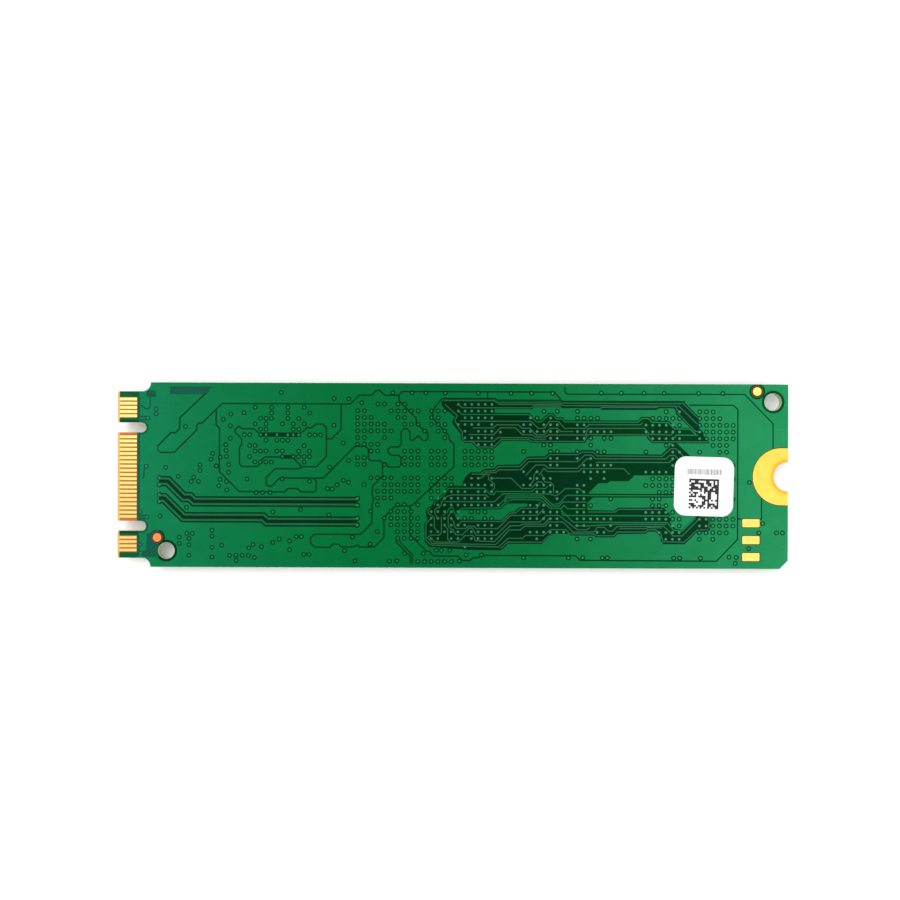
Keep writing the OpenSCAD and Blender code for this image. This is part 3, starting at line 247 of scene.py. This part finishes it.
def metal_material(name, bright, dull, rough=(0.2, 0.42), size=0.5 * MM, grain=0.002 * MM):
    """Bright metal with duller patches of about size metres."""
    n = Nodes(name)
    n.link(n.ramp(n.noise(size, 5), [(0.3, bright), (0.75, dull)]), n.shader.inputs["Base Color"])
    n.surface(metallic=1.0)
    n.link(n.grade(n.noise(size / 2, 4), *rough), n.shader.inputs["Roughness"])
    n.bump(n.noise(size / 5, 3), grain)
    return n.material


def plain_material(
    name, light, dark, rough=(0.5, 0.7), size=0.3 * MM, grain=0.003 * MM, stretch=(1, 1, 1)
):
    """Two shades in specks of about size metres, with a fine grain."""
    n = Nodes(name)
    n.link(n.ramp(n.noise(size, 4, stretch), [(0.3, light), (0.7, dark)]), n.shader.inputs["Base Color"])
    n.surface(specular=0.3)
    n.link(n.grade(n.noise(size * 2, 3), *rough), n.shader.inputs["Roughness"])
    n.bump(n.noise(size / 3, 4), grain)
    return n.material


def placed_material(name, *stops, metallic=0.0, rough=(0.3, 0.5), grain=0.002 * MM):
    """A material whose colour changes along the board, with fine grain."""
    n = Nodes(name)
    n.link(n.shaded(n.along_board(*stops), n.grade(n.noise(0.2 * MM, 4), 0.88, 1.1)),
           n.shader.inputs["Base Color"])
    n.surface(metallic=metallic, specular=0.3)
    n.link(n.grade(n.noise(0.3 * MM, 3), *rough), n.shader.inputs["Roughness"])
    n.bump(n.noise(0.1 * MM, 3), grain)
    return n.material


# Screw notch in mm
NOTCH_X = 40.0
NOTCH_RADIUS = 1.75


def land_material():
    """Gold that turns darker and more orange towards the rim of the screw notch."""
    n = Nodes("land_gold")
    gold = n.ramp(n.noise(0.9 * MM, 5), [(0.25, (255, 240, 124)), (0.75, (254, 224, 102))])
    rim = n.ramp(
        n.radius(NOTCH_X, 0, NOTCH_RADIUS, NOTCH_RADIUS + 0.6),
        [(0.0, (236, 184, 96)), (0.45, (252, 218, 140)), (1.0, (255, 240, 210))],
    )
    n.link(n.mix(1.0, gold, rim, "MULTIPLY"), n.shader.inputs["Base Color"])
    n.surface(metallic=1.0)
    n.link(n.grade(n.noise(0.4 * MM, 4), 0.25, 0.45), n.shader.inputs["Roughness"])
    n.bump(n.noise(0.12 * MM, 4), 0.002 * MM)
    return n.material


def contact_material():
    """Gold contacts with fine wipe marks along them."""
    n = Nodes("contact_gold")
    wipes = n.noise(0.09 * MM, 3, (0.08, 1, 1))
    gold = n.ramp(wipes, [(0.3, (255, 246, 156)), (0.7, (246, 216, 116))])
    n.link(gold, n.shader.inputs["Base Color"])
    n.surface(metallic=1.0)
    n.link(n.grade(wipes, 0.2, 0.4), n.shader.inputs["Roughness"])
    n.bump(wipes, 0.002 * MM)
    return n.material


POUR = mask_material(
    "mask_pour",
    [(-40, (20, 125, 82)), (-27, (9, 112, 63)), (-14, (1, 104, 51)), (-2, (0, 100, 49)),
     (10, (8, 108, 56)), (24, (26, 127, 76)), (40, (40, 148, 93))],
    (6, 106, 60), bare=True,
)
LINE = mask_material(
    "mask_line",
    [(-40, (16, 84, 54)), (-30, (2, 66, 32)), (-12, (0, 50, 13)), (10, (0, 46, 12)), (40, (2, 78, 40))],
    (0, 50, 18),
)
FIELD = mask_material(
    "mask_field",
    [(-40, (0, 54, 20)), (-5, (0, 38, 0)), (10, (0, 38, 0)), (18, (0, 52, 14)), (40, (2, 62, 30))],
    (0, 46, 36), 0.16, patchy=0.65,
)
BARE = mask_material("mask_bare", [(-40, (18, 84, 62)), (-28, (22, 86, 68))], (24, 84, 80), 0.14)
TRACE = mask_material(
    "mask_trace",
    [(-40, (34, 106, 68)), (-12, (24, 90, 50)), (12, (40, 96, 62)), (40, (52, 116, 84))],
    (42, 98, 70),
)
VIA = mask_material(
    "mask_via",
    [(-40, (46, 120, 86)), (-2, (40, 112, 76)), (12, (68, 128, 96)), (22, (80, 136, 106)),
     (40, (82, 142, 110))],
    (66, 128, 98), 0.1, (0.25, 0.4),
)
POUR_VIA = mask_material(
    "mask_pour_via",
    [(-36, (40, 128, 88)), (-25, (30, 120, 76)), (-10, (24, 114, 66)), (2, (28, 116, 68)),
     (12, (48, 136, 88)), (40, (66, 148, 104))],
    (36, 122, 80), 0.1, (0.25, 0.4),
)
FRONT = mask_material("mask_front", [(-40, (12, 104, 62)), (40, (10, 104, 62))], (10, 98, 66))
GOLD = contact_material()
LAND = land_material()
PAD = metal_material("pad_gold", (248, 218, 114), (238, 202, 94), (0.25, 0.45), 0.4 * MM)
TIN = metal_material("solder_tin", (214, 216, 220), (176, 178, 184), (0.25, 0.5), 0.25 * MM)
LID = metal_material("lid_metal", (206, 202, 188), (178, 174, 160), (0.3, 0.45), 0.4 * MM)
MARK = placed_material("mark_copper", (-34, (255, 152, 86)), (30, (255, 244, 130)), metallic=1.0)
BOARD = placed_material(
    "laminate", (-39.6, (196, 112, 34)), (-37.7, (186, 100, 26)), (-37.3, (70, 46, 18)),
    (30, (104, 54, 10)),
)
BEVEL = plain_material("laminate_bevel", (244, 184, 88), (228, 160, 62), (0.5, 0.7), 0.2 * MM)
EDGE = plain_material(
    "laminate_edge", (214, 216, 170), (178, 188, 136), (0.5, 0.7), 0.2 * MM, 0.004 * MM, (1, 1, 6)
)
PAPER = plain_material("label_paper", (250, 250, 249), (242, 242, 240), (0.55, 0.7), 0.2 * MM, 0.001 * MM)
INK = plain_material("label_ink", (26, 26, 30), (44, 42, 44), (0.5, 0.65), 0.1 * MM, 0.0005 * MM)
GREY_INK = plain_material(
    "label_grey_ink", (120, 114, 106), (146, 140, 132), (0.5, 0.65), 0.1 * MM, 0.0005 * MM
)
MOULD = plain_material("mould_compound", (34, 34, 37), (22, 22, 25), (0.55, 0.75), 0.12 * MM, 0.004 * MM)
FERRITE = plain_material("ferrite", (70, 70, 74), (46, 46, 50), (0.6, 0.8), 0.15 * MM, 0.006 * MM)
CERAMIC = plain_material(
    "capacitor_ceramic", (176, 140, 100), (146, 112, 76), (0.35, 0.5), 0.2 * MM, 0.002 * MM
)
RESISTOR = plain_material("resistor_coat", (26, 26, 30), (16, 16, 20), (0.2, 0.35), 0.2 * MM, 0.001 * MM)
FUSE = plain_material("fuse_body", (26, 84, 52), (16, 62, 38), (0.3, 0.45), 0.3 * MM, 0.002 * MM)
BROWN = plain_material("brown_ceramic", (92, 66, 44), (70, 50, 32), (0.5, 0.65), 0.2 * MM, 0.003 * MM)

LOOKS = {
    "board": BOARD, "front_mask": FRONT, "back_contacts": GOLD, "front_contacts": GOLD,
    "screw_land": LAND, "test_pads": PAD, "back_marks": MARK, "front_marks": MARK,
    "label": PAPER, "controller_chip": MOULD, "near_flash_chip": MOULD, "far_flash_chip": MOULD,
    "memory_chip": MOULD, "power_chip": MOULD, "regulator_chip": MOULD, "boot_chip": MOULD,
    "heat_sensor": MOULD, "inductor_cores": FERRITE, "input_fuse": FUSE,
    "large_capacitors": CERAMIC, "small_capacitors": CERAMIC, "resistors": RESISTOR,
    "crystal_base": BROWN, "crystal_lid": LID,
}
for name, part in nodes.items():
    part.data.materials.clear()
    part.data.materials.append(LOOKS.get(name, TIN))


# Faces of the board and its copper layout

# Points closer than this, in mm, are one
SAME_POINT = 0.0002


def mesh_arrays(part):
    """Vertices in mm, triangles, and each triangle's normal, area and middle."""
    mesh = part.data
    points = np.zeros(len(mesh.vertices) * 3, np.float32)
    mesh.vertices.foreach_get("co", points)
    points = points.reshape(-1, 3).astype(float) / MM
    corners = np.zeros(len(mesh.polygons) * 3, np.int32)
    mesh.polygons.foreach_get("vertices", corners)
    triangles = corners.reshape(-1, 3)
    a, b, c = (points[triangles[:, k]] for k in range(3))
    cross = np.cross(b - a, c - a)
    size = np.linalg.norm(cross, axis=1)
    normal = cross / np.maximum(size, 1e-12)[:, None]
    return points, triangles, normal, size / 2, (a + b + c) / 3


def islands(points, triangles):
    """One number per triangle, the same for those joined by shared points, and its shared points."""
    keys = np.round(points / SAME_POINT).astype(np.int64)
    _, same = np.unique(keys, axis=0, return_inverse=True)
    same = same.ravel()[triangles]
    label = np.arange(same.max() + 1)
    while True:
        low = label[same].min(axis=1)
        new = label.copy()
        for k in range(3):
            np.minimum.at(new, same[:, k], low)
        new = new[new]
        if (new == label).all():
            return label[same[:, 0]], same
        label = new


def thinness(points, triangles, same, which, area):
    """Area over outline length of each island, in mm, and its area.

    The first is half a strip's width, or half a disc's radius."""
    sides = ((0, 1), (1, 2), (2, 0))
    edges = np.concatenate([same[:, side] for side in sides])
    length = np.concatenate([
        np.linalg.norm(points[triangles[:, i]] - points[triangles[:, j]], axis=1) for i, j in sides
    ])
    owner = np.concatenate([which] * 3)
    pair = np.sort(edges, axis=1)
    _, first, count = np.unique(pair, axis=0, return_index=True, return_counts=True)
    rim = first[count == 1]
    outline = np.bincount(owner[rim], weights=length[rim], minlength=which.max() + 1)
    total = np.bincount(which, weights=area, minlength=which.max() + 1)
    return total / np.maximum(outline, 1e-9), total


def paint_board(part):
    """Faces of the laminate, its bevel and its cut edges."""
    _, _, normal, _, _ = mesh_arrays(part)
    rise = np.abs(normal[:, 2])
    flat, sloping = rise > 0.99, rise > 0.3
    look = np.where(flat, 0, np.where(sloping, 1, 2)).astype(np.int32)
    part.data.materials.clear()
    for material in (BOARD, BEVEL, EDGE):
        part.data.materials.append(material)
    part.data.polygons.foreach_set("material_index", look)


paint_board(nodes["board"])

BACK_LOOKS = (POUR, LINE, FIELD, TRACE, BARE)
POUR_LOOK, LINE_LOOK, FIELD_LOOK, TRACE_LOOK, BARE_LOOK = range(len(BACK_LOOKS))
# A face this far below the top of the mask, in mm, is sunk, and one below the second depth is hidden
SUNK = 0.002
UNDERSIDE = 0.035
# A raised island thinner than this and larger than a via pad is a trace, in mm and square mm
THIN = 0.135
PAD_AREA = 0.1
# A sunk island larger than this, in square mm, is a field and not a line
WIDE_FIELD = 6.0
# Fields with no copper at all, in mm: left of the first place, and the marking field
BARE_END_X = -35.0
MARKING_END_X = -28.6
MARKING_LOW_Y = 9.55


def paint_back(part):
    """Gives pour, traces, sunk lines and sunk fields of the mask their own materials."""
    points, triangles, normal, area, middle = mesh_arrays(part)
    top_z = points[:, 2].max()
    look = np.full(len(triangles), LINE_LOOK, np.int32)
    up = normal[:, 2] > 0.9
    top = np.flatnonzero(up & (middle[:, 2] > top_z - SUNK))
    sunk = np.flatnonzero(up & (middle[:, 2] <= top_z - SUNK))
    look[middle[:, 2] < top_z - UNDERSIDE] = POUR_LOOK
    which, same = islands(points, triangles[top])
    ratio, total = thinness(points, triangles[top], same, which, area[top])
    look[top] = np.where((ratio[which] < THIN) & (total[which] > PAD_AREA), TRACE_LOOK, POUR_LOOK)
    which, same = islands(points, triangles[sunk])
    _, total = thinness(points, triangles[sunk], same, which, area[sunk])
    look[sunk] = np.where(total[which] > WIDE_FIELD, FIELD_LOOK, LINE_LOOK)
    x, y = middle[sunk, 0], middle[sunk, 1]
    look[sunk[(x < BARE_END_X) | ((x < MARKING_END_X) & (y > MARKING_LOW_Y))]] = BARE_LOOK
    part.data.materials.clear()
    for material in BACK_LOOKS:
        part.data.materials.append(material)
    part.data.polygons.foreach_set("material_index", look)
    print("back mask triangles per look", np.bincount(look, minlength=len(BACK_LOOKS)).tolist())


paint_back(nodes["back_mask"])


# Cells in mm in which centres are counted, the least votes for one, and the least gap between two
CELL = 0.03
LEAST_VOTES = 10
LEAST_GAP = 0.2
# A ring is there when this many walls stand within this distance, in mm, of its radius
RING_WALLS = 8
RING_SLACK = 0.012


def pad_centres(part, radius):
    """Centres of the round via pads, from the walls of their rings: walls that curve round one point."""
    _, _, normal, _, middle = mesh_arrays(part)
    wall = np.flatnonzero(np.abs(normal[:, 2]) < 0.1)
    guess = middle[wall, :2] - normal[wall, :2] * radius
    cells = np.round(guess / CELL).astype(int)
    votes = {}
    for cell, point in zip(map(tuple, cells), guess):
        votes.setdefault(cell, []).append(point)
    around = [(i, j) for i in (-1, 0, 1) for j in (-1, 0, 1)]
    found = []
    for cell in sorted(votes, key=lambda k: -len(votes[k])):
        near = [p for i, j in around for p in votes.get((cell[0] + i, cell[1] + j), [])]
        if len(near) < LEAST_VOTES:
            continue
        centre = np.mean(near, axis=0)
        if all(np.hypot(*(centre - other)) > LEAST_GAP for other in found):
            found.append(centre)
    return found


def ringed(part, centres, radius):
    """Whether each via has a sunk ring round its pad: walls at that radius from its centre."""
    _, _, normal, _, middle = mesh_arrays(part)
    wall = middle[np.abs(normal[:, 2]) < 0.1, :2]
    found = []
    for centre in centres:
        off_ring = np.abs(np.hypot(*(wall - centre).T) - radius)
        found.append((off_ring < RING_SLACK).sum() >= RING_WALLS)
    return found


def round_caps(name, centres, radius, height, z, up, look, slot):
    """Low domes over the vias, in one mesh."""
    mesh = bmesh.new()
    steps, rings = 18, 3
    for x, y in centres:
        rows = []
        for k in range(rings):
            t = k / rings
            r, h = radius * math.cos(t * math.pi / 2), height * math.sin(t * math.pi / 2)
            rows.append([
                mesh.verts.new(((x + r * math.cos(a)) * MM, (y + r * math.sin(a)) * MM, (z + up * h) * MM))
                for a in (2 * math.pi * i / steps for i in range(steps))
            ])
        peak = mesh.verts.new((x * MM, y * MM, (z + up * height) * MM))
        for low, high in zip(rows, rows[1:]):
            for i in range(steps):
                j = (i + 1) % steps
                mesh.faces.new((low[i], low[j], high[j], high[i]))
        for i in range(steps):
            mesh.faces.new((rows[-1][i], rows[-1][(i + 1) % steps], peak))
        mesh.faces.new(list(reversed(rows[0])))
    bmesh.ops.recalc_face_normals(mesh, faces=mesh.faces)
    return finish_piece(name, mesh, look)


def finish_piece(name, mesh, look, smooth=True):
    """Makes the mesh a piece of the scene that rides on the object."""
    data = bpy.data.meshes.new(name)
    mesh.to_mesh(data)
    mesh.free()
    if smooth:
        data.polygons.foreach_set("use_smooth", [True] * len(data.polygons))
    data.materials.append(look)
    obj = bpy.data.objects.new(name, data)
    bpy.context.scene.collection.objects.link(obj)
    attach(obj, "root")
    return obj


# Vias in mm: radii of the pad and its ring, and radius and height of each kind of cap
VIA_PAD = 0.16
VIA_RING = 0.29
FIELD_CAP = (0.16, 0.012)
POUR_CAP = (0.13, 0.008)
FRONT_CAP = (0.15, 0.012)
back_vias = pad_centres(nodes["back_mask"], VIA_PAD)
front_vias = pad_centres(nodes["front_mask"], VIA_PAD)
print("vias found: back", len(back_vias), "front", len(front_vias))
back_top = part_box("back_mask")[1].z / MM
front_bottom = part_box("front_mask")[0].z / MM
label_low, label_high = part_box("label")
under_label = 0.1 * MM
shown = [
    v for v in back_vias
    if not (label_low.x + under_label < v[0] * MM < label_high.x - under_label
            and label_low.y + under_label < v[1] * MM < label_high.y - under_label)
]
rings = ringed(nodes["back_mask"], shown, VIA_RING)
in_field = [v for v, has_ring in zip(shown, rings) if not has_ring]
in_pour = [v for v, has_ring in zip(shown, rings) if has_ring]
print("via caps in fields", len(in_field), "in pour", len(in_pour))
round_caps("field_via_caps", in_field, *FIELD_CAP, back_top, 1, VIA, "solder_mask")
round_caps("back_via_caps", in_pour, *POUR_CAP, back_top, 1, POUR_VIA, "solder_mask")
round_caps("front_via_caps", front_vias, *FRONT_CAP, front_bottom, -1, VIA, "solder_mask")


# Print on the label
LABEL_TURN = math.radians(-1.5)
INK_HEIGHT = 0.004 * MM
# Block of cells: how many a side, the pitch, how far each overlaps the next, and the block's middle
CELLS = 16
CELL_SIDE = 0.222 * MM
CELL_OVERLAP = 1.02
BLOCK_Y = -0.88 * MM
# Row of bars: how many, the pitch, their widths and length, and the row's middle
BARS = 25
BAR_PITCH = 0.171 * MM
BAR_WIDTHS = (0.05, 0.08, 0.11)
BAR_LENGTH = 0.66 * MM
BARS_Y = 1.74 * MM


def tile(mesh, x, y, width, length):
    """A thin rectangle of ink."""
    made = bmesh.ops.create_cube(mesh, size=1)["verts"]
    bmesh.ops.scale(mesh, vec=(width, length, INK_HEIGHT), verts=made)
    bmesh.ops.translate(mesh, vec=(x, y, INK_HEIGHT / 2), verts=made)


def label_print():
    """Generic marks where the photo has print: a block of seeded cells and a row of bars."""
    middle = (label_low + label_high) / 2
    place = Matrix.Translation((middle.x, middle.y, label_high.z)) @ Matrix.Rotation(LABEL_TURN, 4, "Z")
    chance = random.Random(7)
    last = CELLS - 1
    block = bmesh.new()
    for i in range(CELLS):
        for j in range(CELLS):
            border = j == last or i == last
            dotted = (i == 0 and j % 2 == 0) or (j == 0 and i % 2 == 0)
            inner = 0 < i < last and 0 < j < last and chance.random() < 0.5
            if border or dotted or inner:
                x = (i - last / 2) * CELL_SIDE
                y = BLOCK_Y + (j - last / 2) * CELL_SIDE
                tile(block, x, y, CELL_SIDE * CELL_OVERLAP, CELL_SIDE * CELL_OVERLAP)
    block.transform(place)
    finish_piece("label_block", block, INK, False)
    bars = bmesh.new()
    for i in range(BARS):
        x = (i - (BARS - 1) / 2) * BAR_PITCH
        tile(bars, x, BARS_Y, chance.choice(BAR_WIDTHS) * MM, BAR_LENGTH)
    bars.transform(place)
    finish_piece("label_bars", bars, GREY_INK, False)


label_print()


# Floor, light and camera
def make_floor():
    data = bpy.data.meshes.new("floor")
    half = 1.2
    corners = [(-half, -half, 0), (half, -half, 0), (half, half, 0), (-half, half, 0)]
    data.from_pydata(corners, [], [(0, 1, 2, 3)])
    floor = bpy.data.objects.new("floor", data)
    n = Nodes("floor_white")
    white = n.ramp(n.noise(40 * MM, 2), [(0.0, (248, 248, 248)), (1.0, (252, 252, 252))], share=1)
    n.link(white, n.shader.inputs["Base Color"])
    n.surface(roughness=0.9, specular=0.1)
    data.materials.append(n.material)
    bpy.context.scene.collection.objects.link(floor)


def area_light(name, at, size, power):
    """A square light that shines at the middle of the object."""
    data = bpy.data.lights.new(name, "AREA")
    data.shape = "SQUARE"
    data.size = size
    data.energy = power
    light = bpy.data.objects.new(name, data)
    light.location = at
    light.rotation_euler = (-Vector(at)).to_track_quat("-Z", "Y").to_euler()
    bpy.context.scene.collection.objects.link(light)


make_floor()
world = bpy.data.worlds.new("studio")
world.use_nodes = True
background = world.node_tree.nodes["Background"]
background.inputs["Color"].default_value = (1, 1, 1, 1)
background.inputs["Strength"].default_value = 0.965
bpy.context.scene.world = world
area_light("key", at=(-0.12, 0.16, 0.34), size=0.22, power=0.57)
area_light("fill", at=(0.2, -0.12, 0.3), size=0.3, power=0.25)

# Height over the back, and the width of what the picture shows there
CAMERA_HEIGHT = 85 * MM
VIEW_WIDTH = 107.3 * MM
# How far the object's middle lies right of and below the picture's middle, in pixels of 900
CENTRE_OFF_X, CENTRE_OFF_Y = 2.6, 25.6
PX = VIEW_WIDTH / 900
CAMERA_TURN = math.radians(0.2)
SENSOR_WIDTH = 36
camera_data = bpy.data.cameras.new("camera")
camera_data.sensor_width = SENSOR_WIDTH
camera_data.lens = SENSOR_WIDTH * CAMERA_HEIGHT / VIEW_WIDTH
camera_data.clip_start = 0.005
camera = bpy.data.objects.new("camera", camera_data)
back_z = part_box("back_mask")[1].z
camera.location = (-CENTRE_OFF_X * PX, CENTRE_OFF_Y * PX, back_z + CAMERA_HEIGHT)
camera.rotation_euler = (0, 0, CAMERA_TURN)
bpy.context.scene.collection.objects.link(camera)
bpy.context.scene.camera = camera
bpy.context.scene.view_settings.view_transform = "Standard"
